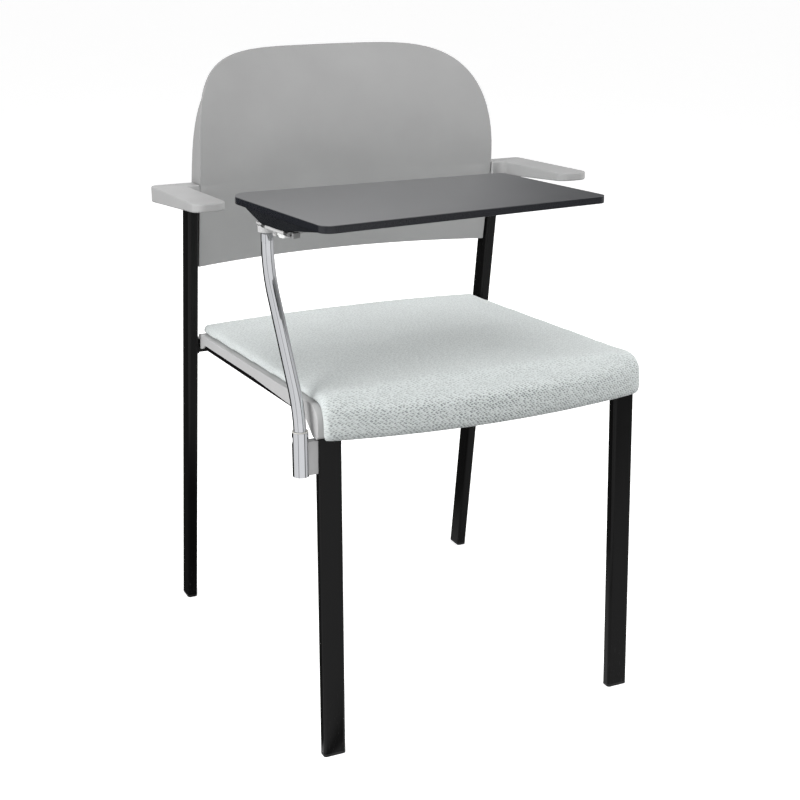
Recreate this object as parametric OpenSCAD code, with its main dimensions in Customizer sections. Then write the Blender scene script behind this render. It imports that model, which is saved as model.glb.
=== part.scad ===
// Chair with a padded seat, a plastic back, two armrests and a writing tablet on a swivel arm.
// Millimetres, Z up, the sitter faces -Y, and the floor is Z = 0.
// The origin lies on the floor under the middle of the chair's outer box.

/* [Legs] */
// Wide side of the leg tubes
leg_w = 30; // [26:1:34]
// Narrow side of the leg tubes
leg_t = 15; // [13:0.5:16]
// Wall of the leg tubes
leg_wall = 1.5; // [1:0.25:2.5]
// Corner radius of the leg tubes
leg_r = 4; // [2.5:0.5:5]
// Spacing of the front legs at the floor, centre to centre
front_track = 423.8; // [419:0.1:424]
// Spacing of the rear legs, centre to centre
rear_track = 474; // [472:1:490]
// Distance from the front legs to the rear legs at the floor, centre to centre
leg_base = 527.4; // [515:0.1:545]
// Rearward slope of the front legs, in degrees
front_rake = 1.28; // [0.5:0.01:2]
// Inward slope of the front legs, in degrees
front_splay = 0.63; // [0.4:0.01:0.8]
// Forward lean of the rear uprights, in degrees
rear_lean = 8.73; // [8:0.01:9.5]
// Thickness of the glide under each foot
glide_t = 4; // [2:0.5:8]
// Length of the glide's plug inside the tube
glide_plug = 12; // [6:1:25]

/* [Seat frame] */
// Width of the side rails
rail_w = 15; // [12:1:20]
// Height of the side rails
rail_h = 16; // [12:1:18]
// Wall of all the rails
rail_wall = 1.5; // [1:0.25:2.5]
// Height of the side rails' top above the floor, midway
rail_top_mid = 448.6; // [440:0.1:455]
// Slope of the side rails, in degrees
rail_pitch = 2.95; // [2:0.05:3.5]
// Height of the cross rails
cross_h = 20; // [15:1:22]
// Depth of the cross rails, front to back
cross_d = 15; // [12:1:18]

/* [Seat] */
// Slope of the seat, in degrees
seat_pitch = 3.32; // [2.5:0.02:4]
// Thickness of the pan's deck over the rails, midway
deck_t = 6.9; // [5:0.1:10]
// Wall of the seat pan
pan_wall = 3.2; // [2:0.1:4]
// Gap between the seat pan and each rear upright
pan_gap = 3.5; // [2:0.1:6]
// Gap between the front legs and the pan's front wall
lip_gap = 2; // [1:0.1:5]
// Height of the pan's front wall
lip_drop = 42; // [36:0.5:48]
// Rounding of the pan's front edge
lip_r = 22; // [15:1:28]
// Height of the cushion's side band
cush_t = 13.4; // [11:0.1:25]
// Extra height of the cushion at its middle
cush_crown = 6; // [0:0.5:12]
// How far the middle of the cushion's front stands before its corners
cush_bow = 25; // [5:0.5:35]
// How far each side of the cushion lies inside the pan's edge
cush_inset = 5; // [2:0.5:10]
// Thickness of the seat board
board_t = 8; // [5:0.5:10]
// Corner radius of the seat board
board_corner_r = 20; // [10:1:40]

/* [Back] */
// Height of the back's top above the floor
back_top = 840; // [800:1:880]
// Height of the back's lower edge above the floor
back_bottom = 545; // [520:1:570]
// Thickness of the back's sheet
back_t = 4.8; // [3:0.1:7]
// Exponent that squares the back's upper corners
back_square = 4.85; // [3.5:0.05:6]
// Radius of the back's curve in plan
back_plan_r = 680; // [600:5:900]
// Radius of the back's rearward roll at the top
back_roll_r = 223; // [200:1:260]
// Height above the floor at which the back stands upright
back_upright_z = 698.7; // [690:0.1:710]
// Lean of the back's lower part, in degrees
back_lean = 10; // [9:0.1:11]
// Depth of the rim behind the uprights' rear face
rim_behind = 13; // [5:0.5:20]
// Wall of the back's rim
rim_wall = 4; // [3:0.1:6]
// Gap between the back's rim and each upright
back_gap = 2.3; // [1:0.1:4]

/* [Armrests] */
// Spacing of the armrests' outer sides
arm_span = 580; // [560:1:600]
// Width of the armrests
arm_w = 43; // [38:0.5:50]
// Length of the armrests
arm_len = 205.5; // [180:0.5:230]
// Height of the armrests' top at the uprights
arm_height = 665.4; // [650:0.1:690]
// Forward rise of the armrests' top, in degrees
arm_rise = 2.31; // [0:0.01:4]
// Thickness of the armrests at the uprights
arm_thick = 21.7; // [18:0.1:26]
// Forward thinning of the armrests' underside, in degrees
arm_taper = 3.17; // [1:0.01:3.3]
// Thickness of the steel plate under each armrest
plate_t = 4; // [3:0.25:5]

/* [Tablet arm] */
// Diameter of the arm's rod
rod_d = 15.5; // [14:0.1:16]
// Radius of the rod's two bends
bend_r = 110; // [90:1:120]
// Lean of the rod between its bends, in degrees
rod_lean = 32; // [25:0.5:34]
// Straight length of the rod between its bends
rod_run = 115; // [100:1:120]
// Straight length of the rod from its upper bend to the collar
rod_top = 17.4; // [10:0.2:25]
// Outer diameter of the socket tube
socket_d = 20; // [19.5:0.1:22]
// Bore of the socket tube
socket_bore = 17; // [16.6:0.1:18]
// Length of the socket tube
socket_len = 56; // [54:0.5:70]
// Height of the socket's lower end above the floor
socket_low = 380.5; // [360:0.5:384]
// Width of the gap between the socket tube and the leg
bracket_gap = 10; // [6:0.5:16]
// Diameter of the stop pin
stop_d = 5; // [3:0.5:6]
// Swing of the arm, in degrees
swing = 90; // [60:5:120]
// Direction of the stop pin at rest, in degrees from the chair's right
stop_dir = 72; // [60:1:90]

/* [Tablet] */
// Turn of the tablet from the chair's side, in degrees
tablet_yaw = 7.7; // [0:0.1:12]
// Thickness of the tablet, laminate included
tablet_t = 9.2; // [7:0.1:14]
// Thickness of the tablet's laminate
laminate_t = 1; // [0.6:0.1:2]
// Length of the tablet's left side
tablet_left = 241; // [220:1:260]
// Length of the tablet's right side
tablet_right = 204.2; // [190:0.1:220]
// Width of the tablet along its front
tablet_w = 384; // [360:1:400]
// How far the front right corner stands before the front left one
tablet_skew = 25.8; // [10:0.1:40]
// How far the rear right corner lies inside the front right one
tablet_narrow = 9.6; // [0:0.1:20]
// Rounding of the tablet's front left corner
corner_r = 15; // [8:0.5:25]
// Rounding of the tablet's rear left corner
corner_rear_r = 26; // [8:0.5:35]
// Rounding of the tablet's other corners
corner_small_r = 10; // [5:0.5:20]
// Depth of the hinge housing under the tablet
housing_h = 13.6; // [11:0.1:20]
// Width of the hinge housing
housing_w = 50; // [45:1:70]
// Length of the hinge housing where it meets the tablet
housing_len = 175; // [150:1:185]
// Length of the hinge housing's flat underside
housing_flat = 41; // [35:1:60]
// Diameter of the hinge barrel
barrel_d = 4.6; // [4:0.1:5]
// Diameter of the hinge pin
hinge_pin_d = 2.4; // [1.5:0.1:3]
// Diameter of the collar on top of the rod
collar_d = 22; // [20:0.5:24]
// Height of the collar on top of the rod
collar_h = 8; // [6:0.5:12]
// Thickness of the plate on the collar
head_t = 2.7; // [2:0.1:4]
// Thickness of the hinge leaf
leaf_t = 1.6; // [1:0.1:2.5]
// Length of the latch's finger tab
tab_len = 19; // [16:1:24]
// Width of the latch's finger tab
tab_w = 9.6; // [6:0.2:12]
// Depth of the latch's finger tab
tab_h = 7.6; // [5:0.2:10]

/* [Fasteners] */
// Diameter of the back's screws
back_screw_d = 6; // [4:0.5:8]
// Diameter of the bracket's bolts
bolt_d = 5; // [4:0.5:6]
// Diameter of the armrests' screws
arm_screw_d = 4; // [3:0.5:5]
// Diameter of the seat's screws
seat_screw_d = 5; // [4:0.5:6]
// Diameter of the tablet's screws
tablet_screw_d = 3.5; // [2.5:0.5:4.5]

/* [Clearances] */
// Clearance of a plug in a tube, of a screw in its hole and of a plate in its recess, per side
fit = 0.15; // [0.05:0.05:0.3]
// Running clearance between pieces that move past each other
run = 0.3; // [0.2:0.05:0.5]

/* [Hidden] */
$fn = 64;

// Every Y below is measured from a datum between the legs; centre_y moves the whole chair to its box.
front_foot_y = -205.1;
rear_foot_y = front_foot_y + leg_base;
rear_half = leg_w / 2 / cos(rear_lean);
rear_in = rear_track / 2 - leg_t / 2;

// Centre lines of the legs at height z
function front_x(z) = front_track / 2 - z * tan(front_splay);
function front_y(z) = front_foot_y + z * tan(front_rake);
function rear_y(z) = rear_foot_y - z * tan(rear_lean);

// Seat frame
function rail_top(y) = rail_top_mid - (y - 20) * tan(rail_pitch);
front_top = rail_top(front_y(rail_top_mid)) - 5;
pan_half = rear_in - pan_gap;
rail_out = pan_half - pan_wall - 0.8;
cross_y = rear_y(430) - rear_half + 5.5;
cross_top = rail_top(cross_y) - 1.5;

// Seat pan, whose top is a plane through the middle of the deck
function pan_top(y) = rail_top_mid + deck_t - (y - 20) * tan(seat_pitch);
pan_rear = cross_y + 6.5;
lip_y = front_y(front_top) - leg_t / 2 - lip_gap - pan_wall;
lip_nose = lip_y - 2.8;
lip_low = pan_top(lip_y) - lip_drop;
rail_show = 9;
function rail_low(y) = rail_top(y) - rail_h / cos(rail_pitch);

// Cushion
cush_half = pan_half - cush_inset;
cush_rear = pan_rear - 3;
cush_front = 11;
board_half = cush_half - 20;
board_front = lip_nose + lip_r + 17;
board_rear = cush_rear - 15.5;

// Back
roll_front = rear_y(660) - rear_half + 3 - back_roll_r * (1 - cos(back_lean));
back_half = rear_in - back_gap;
back_sag = back_plan_r - sqrt(back_plan_r * back_plan_r - back_half * back_half);
back_axis_y = roll_front + back_sag - back_plan_r;
back_corner_z = back_bottom + 40;
back_screw_z = [for (share = [0.25, 0.75])
    back_bottom + share * (arm_height - arm_thick - back_bottom)];
function back_screw_y(z) = rear_y(z) + 4.5;

// Armrests
arm_rear = rear_y(arm_height - arm_thick) + rear_half + 0.3;
arm_front = arm_rear - arm_len;
arm_elbow = arm_rear - 2 * rear_half - 2.6;
function arm_top(y) = arm_height + (rear_y(arm_height) - y) * tan(arm_rise);
function arm_low(y) = arm_height - arm_thick + (rear_y(arm_height) - y) * tan(arm_rise + arm_taper);

// Socket and arm
socket_y = front_y(socket_low + 22) + 2.5;
leg_side = front_x(socket_low + 22) + leg_w / 2;
socket_x = -max(leg_side + bracket_gap, pan_half + 3 * run) - socket_d / 2;
socket_top = socket_low + socket_len;
disc_t = 3;
stop_z = socket_top - 10;
stop_half = asin((stop_d / 2 + run) / (socket_bore / 2));
rod_low = socket_low + disc_t + run;
// The rod thins a hair where it is bent, and its straights lap over the bends' ends
bend_thin = 0.05;
bend_lap = 0.5;
bend_z = socket_top - 8;
rod_rise = bend_z + 2 * bend_r * sin(rod_lean) + rod_run * cos(rod_lean);
rod_reach = 2 * bend_r * (1 - cos(rod_lean)) + rod_run * sin(rod_lean);
head_y = socket_y + rod_reach;
head_low = rod_rise + rod_top;
plate_low = head_low + collar_h;
plate_top = plate_low + head_t;
leaf_low = plate_top + run;
housing_low = leaf_low + 0.3;
tablet_low = housing_low + housing_h;
tablet_top = tablet_low + tablet_t;

// Tablet frame: its origin is the tablet's left side abreast of the head, X inward, Y rearward
head_in = 12.65;
hinge_x = 2.6;
hinge_z = plate_low + head_t / 2 + 0.3;
tablet_x = socket_x - head_in * cos(tablet_yaw);
tablet_y = head_y - head_in * sin(tablet_yaw);
tab_front = -159;
flat_front = -52.5;
plate_front = -68.5;
plate_rear = 14;
knuckle_front = -63.5;
knuckle_rear = -17.5;
knuckle_end = 9;
latch_y = -35;
latch_pin_d = 2;
plate_edge = hinge_x + barrel_d / 2 + run;
plate_width = 34;
tab_x = 6;
latch_z = plate_low - 3;
leaf_front = knuckle_front - knuckle_end - run;
leaf_rear = knuckle_rear + knuckle_end + run;
nose_t = 4;
nose_y = leaf_front - 2 * run - nose_t;
tablet_outline = [
    [0, tab_front + tablet_left], [0, tab_front],
    [tablet_w, tab_front - tablet_skew],
    [tablet_w - tablet_narrow, tab_front - tablet_skew + tablet_right]
];
tablet_radii = [corner_rear_r, corner_r, corner_small_r, corner_small_r];

// The chair's outer box in Y runs from the tablet's front left corner to the rear feet
corner_turn = atan2(tablet_skew, tablet_w);
corner_y = tab_front + corner_r * (1 - sin(corner_turn)) / cos(corner_turn);
box_front = tablet_y + corner_y * cos(tablet_yaw) + corner_r * sin(tablet_yaw) - corner_r;
box_rear = rear_foot_y + rear_half;
centre_y = (box_front + box_rear) / 2;

// Points of a polygon with its corners rounded, n steps to each arc
function unit(v) = v / norm(v);
function turn_to(a, b) = let (d = b - a) d > 180 ? d - 360 : d < -180 ? d + 360 : d;
function corner(p, q, s, r, n) =
    r == 0 ? [q] :
    let (u = unit(p - q), v = unit(s - q), half = acos(u * v) / 2)
    let (c = q + unit(u + v) * r / sin(half), t = r / tan(half))
    let (a = q + u * t - c, b = q + v * t - c)
    let (start = atan2(a.y, a.x), sweep = turn_to(start, atan2(b.y, b.x)))
    [for (i = [0:n]) c + r * [cos(start + sweep * i / n), sin(start + sweep * i / n)]];
function rounded(pts, radii, n = 8) =
    let (k = len(pts))
    [for (i = [0:k - 1]) each corner(pts[(i + k - 1) % k], pts[i], pts[(i + 1) % k], radii[i], n)];
function between(p, q, n) = [for (i = [0:n - 1]) p + (q - p) * i / n];

module whole() {
    translate([0, -centre_y, 0]) children();
}

// side = -1 is the left as seen from the front, where the tablet's arm stands; 1 is the right
module mirrored(side) {
    mirror([side < 0 ? 1 : 0, 0, 0]) children();
}

module rounded_box(w, h, r) {
    square([w - 2 * r, h], center = true);
    square([w, h - 2 * r], center = true);
    for (x = [-1, 1], y = [-1, 1]) translate([x * (w / 2 - r), y * (h / 2 - r)]) circle(r);
}

// Extrudes a shape drawn in (Y, Z) along X
module along_x(from, to) {
    translate([from, 0, 0]) rotate([90, 0, 90]) linear_extrude(to - from) children();
}

module slab(low, high) {
    translate([-500, -500, low]) cube([1000, 1000, high - low]);
}

module front_leg_frame() {
    translate([front_track / 2, front_foot_y, 0]) rotate([-front_rake, -front_splay, 0]) children();
}

module rear_leg_frame() {
    translate([rear_track / 2, rear_foot_y, 0]) rotate([rear_lean, 0, 0]) children();
}

// Everything in front of a front leg's rear face, and everything outside its inner face
module front_leg_reach() {
    front_leg_frame() translate([-100, leg_t / 2 - 100, -50]) cube([200, 100, 600]);
}

module front_leg_outside() {
    front_leg_frame() translate([-leg_w / 2, -100, -50]) cube([200, 200, 600]);
}

module front_leg(side) {
    color("#2a2a2a") whole() mirrored(side) difference() {
        intersection() {
            front_leg_frame() translate([0, 0, -50]) linear_extrude(600) difference() {
                rounded_box(leg_w, leg_t, leg_r);
                rounded_box(leg_w - 2 * leg_wall, leg_t - 2 * leg_wall, leg_r - leg_wall);
            }
            slab(glide_t, front_top);
        }
        if (side < 0) bolt_places() bolt(fit);
    }
}

module rear_leg(side) {
    color("#2a2a2a") whole() mirrored(side) difference() {
        intersection() {
            rear_leg_frame() translate([0, 0, -50]) linear_extrude(900) difference() {
                rounded_box(leg_t, leg_w, leg_r);
                rounded_box(leg_t - 2 * leg_wall, leg_w - 2 * leg_wall, leg_r - leg_wall);
            }
            slab(glide_t, arm_height + 50);
        }
        arm_plane() translate([0, -300, 0]) cube([400, 600, 200]);
        for (z = back_screw_z) translate([rear_in - 10, back_screw_y(z), z]) rotate([0, 90, 0])
            cylinder(h = 10 + leg_wall + 1, r = back_screw_d / 2 + fit);
    }
}

module front_glide(side) {
    color("#1c1c1c") whole() mirrored(side) {
        intersection() {
            front_leg_frame() translate([0, 0, -50]) linear_extrude(200)
                rounded_box(leg_w, leg_t, leg_r);
            slab(0, glide_t);
        }
        intersection() {
            front_leg_frame() translate([0, 0, -50]) linear_extrude(200)
                rounded_box(leg_w - 2 * leg_wall - 2 * fit, leg_t - 2 * leg_wall - 2 * fit,
                            leg_r - leg_wall);
            slab(glide_t, glide_t + glide_plug);
        }
    }
}

module rear_glide(side) {
    color("#1c1c1c") whole() mirrored(side) {
        intersection() {
            rear_leg_frame() translate([0, 0, -50]) linear_extrude(200)
                rounded_box(leg_t, leg_w, leg_r);
            slab(0, glide_t);
        }
        intersection() {
            rear_leg_frame() translate([0, 0, -50]) linear_extrude(200)
                rounded_box(leg_t - 2 * leg_wall - 2 * fit, leg_w - 2 * leg_wall - 2 * fit,
                            leg_r - leg_wall);
            slab(glide_t, glide_t + glide_plug);
        }
    }
}

module side_rail(side) {
    color("#2a2a2a") whole() mirrored(side) difference() {
        translate([rail_out - rail_w / 2, 20, rail_top_mid]) rotate([-rail_pitch, 0, 0])
            difference() {
                translate([-rail_w / 2, -250, -rail_h]) cube([rail_w, 500, rail_h]);
                translate([-rail_w / 2 + rail_wall, -260, -rail_h + rail_wall])
                    cube([rail_w - 2 * rail_wall, 520, rail_h - 2 * rail_wall]);
            }
        front_leg_reach();
        translate([0, cross_y, 0]) cube([400, 400, 800]);
    }
}

module cross_tube(y, top) {
    difference() {
        along_x(-rear_in, rear_in) translate([y, top - cross_h]) square([cross_d, cross_h]);
        along_x(-rear_in - 1, rear_in + 1) translate([y + rail_wall, top - cross_h + rail_wall])
            square([cross_d - 2 * rail_wall, cross_h - 2 * rail_wall]);
    }
}

module front_cross_rail() {
    color("#2a2a2a") whole() difference() {
        cross_tube(front_y(front_top) - cross_d / 2, front_top - 10);
        for (side = [-1, 1]) mirrored(side) front_leg_outside();
    }
}

module rear_cross_rail() {
    color("#2a2a2a") whole() cross_tube(cross_y, cross_top);
}

module pan_side() {
    polygon(rounded([
        [pan_rear, pan_top(pan_rear)],
        [lip_nose, pan_top(lip_nose)],
        [lip_y, lip_low],
        [lip_y + 15, lip_low],
        [lip_y + 38, rail_low(lip_y + 38) + 0.8],
        [-121, rail_low(-121) + 0.5 * rail_show],
        [20, rail_low(20) + rail_show],
        [cross_y - 25, rail_low(cross_y - 25) + rail_show],
        [cross_y - 13, cross_top - 11.5],
        [cross_y - 1.2, cross_top - 15],
        [cross_y - 1.2, cross_top + 1.6]
    ], [1.5, lip_r, 6, 12, 8, 0, 0, 8, 5, 2, 1]));
}

module pan_hollow() {
    polygon(rounded([
        [cross_y + 40, rail_top(cross_y + 40)],
        [lip_nose + pan_wall, rail_top(lip_nose + pan_wall)],
        [lip_y + pan_wall, lip_low - 20],
        [cross_y + 40, lip_low - 40]
    ], [0, lip_r - pan_wall - 5, 0, 0]));
}

// The screws that hold the cushion's board to the pan, standing square to the seat
module seat_screw_places() {
    translate([0, 20, pan_top(20)]) rotate([-seat_pitch, 0, 0])
        for (x = [-1, 0, 1], $row = [board_front + 40, board_rear - 65])
            translate([x * (board_half - 50), $row - 20, 0]) children();
}

module seat_pan() {
    color("#b4b4b4") whole() difference() {
        along_x(-pan_half, pan_half) pan_side();
        along_x(-pan_half + pan_wall, pan_half - pan_wall) pan_hollow();
        seat_screw_places() translate([0, 0, -20]) cylinder(h = 30, r = seat_screw_d / 2 + fit);
    }
}

module board_shape(gap) {
    length = (board_rear - board_front) / cos(seat_pitch);
    mid = (board_rear + board_front) / 2;
    translate([0, mid, pan_top(mid)]) rotate([-seat_pitch, 0, 0]) translate([0, 0, 0.1 - gap])
        linear_extrude(board_t + 2 * gap)
            rounded_box(2 * board_half + 2 * gap, length + 2 * gap, board_corner_r);
}

module seat_board() {
    color("#c9a877") whole() difference() {
        board_shape(0);
        seat_screw_places() translate([0, 0, -1]) cylinder(h = board_t - 1, r = seat_screw_d / 2);
    }
}

module seat_screws() {
    head = 3.5;
    color("#8a8a8a") whole() seat_screw_places() {
        deck = deck_t - ($row - 20) * (tan(seat_pitch) - tan(rail_pitch));
        translate([0, 0, -deck - head - 0.1]) {
            cylinder(h = deck + head + board_t - 2, r = seat_screw_d / 2);
            cylinder(h = head, r = seat_screw_d);
        }
    }
}

// Side profile of the cushion: the underside on the pan, and the top and front at its corners
cush_steps = 8;
// The first two rows lie close together and round the rear edge
function top_rows(a, b) = concat([a], between(a + 3 * unit(b - a), b, cush_steps - 1));
cush_under = let (
        a = [cush_rear, pan_top(cush_rear) + run],
        q = [lip_nose - run, pan_top(lip_nose) + run],
        b = [lip_y - 2 * run, lip_low],
        arc = corner(a, q, b, lip_r, cush_steps))
    concat(top_rows(a, arc[0]), arc, between(arc[cush_steps], b, cush_steps), [b]);
cush_over = let (
        a = [cush_rear, pan_top(cush_rear) + cush_t],
        q = [lip_nose - cush_front, pan_top(lip_nose) + cush_t],
        p = [lip_nose - cush_front, lip_low - 1.5],
        b = [lip_y - 2 * run, lip_low - 1.5],
        arc = corner(a, q, p, lip_r, cush_steps),
        tuck = corner(q, p, b, 12, cush_steps - 2))
    concat(top_rows(a, arc[0]), arc, [(arc[cush_steps] + tuck[0]) / 2], tuck, [b]);
cush_last = len(cush_under) - 1;
// Share of the front's bow at each station, from the flat top (0) round to the front (1)
cush_turn = [for (i = [0:cush_last])
    let (t = min(max((i - cush_steps) / cush_steps, 0), 1)) (1 - cos(180 * t)) / 2];
// The rear edge is a little lower than the rest
cush_rise = [for (i = [0:cush_last]) i == 0 ? 0.85 : 1];
cush_across = 14;

function cush_ring(i) =
    let (u = cush_under[i], o = u + (cush_over[i] - u) * cush_rise[i], w = cush_turn[i])
    let (e = 5 + 3 * w, d = o - u)
    let (band = [[cush_half - 2.5, 0], [cush_half - 0.05 * e, 0.35], [cush_half - 0.35 * e, 0.78]])
    concat(
        [for (b = band) [-b.x, u.x + d.x * b.y, u.y + d.y * b.y]],
        [for (k = [0:cush_across])
            let (s = 2 * k / cush_across - 1, f = 1 - s * s)
            [s * (cush_half - e), o.x - cush_bow * f * w, o.y + cush_crown * f * (1 - w) * cush_rise[i]]],
        [for (k = [2:-1:0]) let (b = band[k]) [b.x, u.x + d.x * b.y, u.y + d.y * b.y]]
    );

module cushion_form() {
    n = cush_across + 7;
    points = [for (i = [0:cush_last]) each cush_ring(i)];
    skin = [for (i = [0:cush_last - 1], k = [0:n - 1])
        let (a = i * n + k, b = i * n + (k + 1) % n, c = a + n, d = b + n)
        each [[a, c, b], [b, c, d]]];
    rear = [for (k = [1:n - 2]) [0, k, k + 1]];
    under = [for (k = [1:n - 2]) [cush_last * n, cush_last * n + k + 1, cush_last * n + k]];
    polyhedron(points, concat(skin, rear, under), convexity = 4);
}

module seat_cushion() {
    color("#c8cdcc") whole() difference() {
        cushion_form();
        board_shape(run);
    }
}

// Outline of the back, seen from the front, set in by an amount
function back_outline(inset) =
    let (h = back_half - inset, z = back_corner_z, rise = back_top - inset - z, e = 2 / back_square)
    concat(
        [[-h, back_bottom + inset], [h, back_bottom + inset]],
        [for (a = [0:4:88]) [h * pow(cos(a), e), z + rise * pow(sin(a), e)]],
        [for (a = [90:4:180]) [-h * pow(-cos(a), e), z + rise * pow(sin(a), e)]]
    );

// Profile of the back in (distance from its plan centre, Z), from the front face to a depth
module back_profile(depth) {
    mid = [back_plan_r + back_roll_r, back_upright_z];
    foot = mid + back_roll_r * [-cos(back_lean), -sin(back_lean)];
    down = 150 * [sin(back_lean), -cos(back_lean)];
    behind = depth * [cos(back_lean), sin(back_lean)];
    polygon([foot, foot + down, foot + down + behind, foot + behind]);
    intersection() {
        difference() {
            translate(mid) circle(back_roll_r, $fn = 256);
            translate(mid) circle(back_roll_r - depth, $fn = 256);
        }
        polygon([
            mid, mid + 2 * (foot - mid), mid + 600 * [-1, 0], mid + 600 * [-cos(24), sin(24)],
            mid + 600 * [-cos(48), sin(48)]
        ]);
    }
}

module back_body(depth) {
    translate([0, back_axis_y, 0]) rotate([0, 0, 60]) rotate_extrude(angle = 60, $fn = 360)
        back_profile(depth);
}

module back_screw_places(side) {
    mirrored(side) for (z = back_screw_z) translate([back_half, back_screw_y(z), z]) rotate([0, 90, 0])
        children();
}

module backrest_shell() {
    color("#a5a5a5") whole() difference() {
        union() {
            intersection() {
                rotate([90, 0, 0]) linear_extrude(800, center = true) polygon(back_outline(0));
                back_body(back_t);
            }
            intersection() {
                rotate([90, 0, 0]) linear_extrude(800, center = true) difference() {
                    polygon(back_outline(0));
                    polygon(back_outline(rim_wall));
                }
                back_body(70);
                translate([0, rear_y(0) + rear_half + rim_behind, 0]) rotate([rear_lean, 0, 0])
                    translate([-400, -800, 0]) cube([800, 800, 1000]);
            }
            for (side = [-1, 1]) back_screw_places(side)
                translate([0, 0, -rim_wall]) cylinder(h = rim_wall + back_gap, r = back_screw_d + 2);
        }
        for (side = [-1, 1]) back_screw_places(side)
            translate([0, 0, -20]) cylinder(h = 40, r = back_screw_d / 2 + fit);
    }
}

module back_screws() {
    color("#3a3a3a") whole() for (side = [-1, 1]) back_screw_places(side) {
        translate([0, 0, -rim_wall - 2])
            cylinder(h = rim_wall + back_gap + leg_wall + 6, r = back_screw_d / 2);
        translate([0, 0, -rim_wall - 3.7]) cylinder(h = 3.5, r = back_screw_d - 1);
    }
}

// Plan outline of the right-hand armrest, an L whose short leg covers the upright
module arm_outline() {
    out = arm_span / 2;
    polygon(rounded([
        [out, arm_front], [out - arm_w - 2, arm_front],
        [out - arm_w, arm_elbow], [rear_in - 1.3, arm_elbow],
        [rear_in - 1.3, arm_rear], [out, arm_rear]
    ], [16, 18, 12, 1.5, 3, 10]));
}

// A frame on the underside of the right-hand armrest, abreast of the upright
module arm_plane() {
    y = rear_y(arm_height);
    translate([0, y, arm_low(y)]) rotate([-arm_rise - arm_taper, 0, 0]) children();
}

// The steel plate under the armrest: a long strap with a foot on top of the upright
module plate_outline(gap) {
    mid_x = arm_span / 2 - arm_w / 2;
    strap_w = 26;
    translate([0, -rear_y(arm_height)]) {
        translate([mid_x - strap_w / 2 - gap, arm_front + 18 - gap])
            square([strap_w + 2 * gap, arm_len - 20 + 2 * gap]);
        translate([rear_in - gap, arm_elbow + 2.6 - gap])
            square([mid_x - rear_in + 2 * gap, arm_rear - arm_elbow - 4.6 + 2 * gap]);
    }
}

module arm_screw_places() {
    for (place = [[arm_span / 2 - arm_w / 2, arm_front + 32], [arm_span / 2 - arm_w / 2, arm_front + 100],
                  [arm_span / 2 - arm_w / 2, arm_rear - 14]])
        arm_plane() translate([place.x, place.y - rear_y(arm_height), 0]) children();
}

module armrest(side) {
    color("#b0b0b0") whole() mirrored(side) difference() {
        intersection() {
            translate([0, 0, arm_height - 100]) linear_extrude(200) arm_outline();
            along_x(0, arm_span) polygon([
                [arm_front - 20, arm_top(arm_front - 20)], [arm_rear + 20, arm_top(arm_rear + 20)],
                [arm_rear + 20, arm_low(arm_rear + 20)], [arm_front - 20, arm_low(arm_front - 20)]
            ]);
        }
        arm_plane() translate([0, 0, -1]) linear_extrude(plate_t + 1) plate_outline(run);
        arm_screw_places() cylinder(h = plate_t + 5, r = arm_screw_d / 2);
    }
}

module arm_plate(side) {
    color("#2a2a2a") whole() mirrored(side) difference() {
        arm_plane() linear_extrude(plate_t) plate_outline(0);
        arm_screw_places() translate([0, 0, -1]) cylinder(h = plate_t + 2, r = arm_screw_d / 2 + fit);
    }
}

module arm_screws() {
    color("#3a3a3a") whole() for (side = [-1, 1]) mirrored(side) arm_screw_places() {
        translate([0, 0, -2.4]) cylinder(h = 2.4 + plate_t + 4.5, r = arm_screw_d / 2);
        translate([0, 0, -2.4]) cylinder(h = 2.4, r = arm_screw_d);
    }
}

// The tablet's socket stands beside the leg on the -X side
module bolt_places() {
    for (z = [socket_low + 12, socket_low + 36])
        translate([front_x(z) + leg_w / 2, front_y(z), z]) children();
}

module socket_bracket() {
    block_low = socket_low + 1.5;
    block_y = front_y(block_low) - 4;
    color("#9b9b9b") whole() difference() {
        translate([socket_x, block_y, block_low])
            cube([-socket_x - leg_side + 3, 12, socket_len - 14]);
        translate([socket_x, socket_y, 0]) cylinder(h = 600, r = socket_d / 2);
        mirrored(-1) front_leg_frame() translate([-leg_w / 2, -100, -50]) cube([leg_w, 200, 600]);
        mirrored(-1) bolt_places() rotate([0, 90, 0]) translate([0, 0, -1])
            cylinder(h = bracket_gap - 1, r = bolt_d / 2);
    }
}

// A bolt through the leg into the bracket, its head sunk flush with the leg's inner side
module bolt(gap) {
    rotate([0, -90, 0]) {
        translate([0, 0, -bracket_gap + 2.5]) cylinder(h = bracket_gap + leg_w - 2.5, r = bolt_d / 2 + gap);
        translate([0, 0, leg_w - 2.5]) cylinder(h = 2.5, r1 = bolt_d / 2 + gap, r2 = bolt_d + gap);
    }
}

module bracket_bolts() {
    color("#3a3a3a") whole() mirrored(-1) bolt_places() bolt(0);
}

// Everything of the socket and the arm is drawn about the socket's axis
module socket_frame() {
    whole() translate([socket_x, socket_y, 0]) children();
}

module ring(outer, bore, low, high) {
    difference() {
        translate([0, 0, low]) cylinder(h = high - low, r = outer / 2);
        translate([0, 0, low - 1]) cylinder(h = high - low + 2, r = bore / 2);
    }
}

module tablet_socket() {
    color("#cfd1d4") socket_frame() difference() {
        ring(socket_d, socket_bore, socket_low, socket_top);
        rotate([0, 0, stop_dir - stop_half]) rotate_extrude(angle = swing + 2 * stop_half)
            translate([socket_bore / 2 - 2, stop_z - stop_d / 2 - 1])
                square([socket_d / 2, stop_d + 2]);
    }
}

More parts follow.
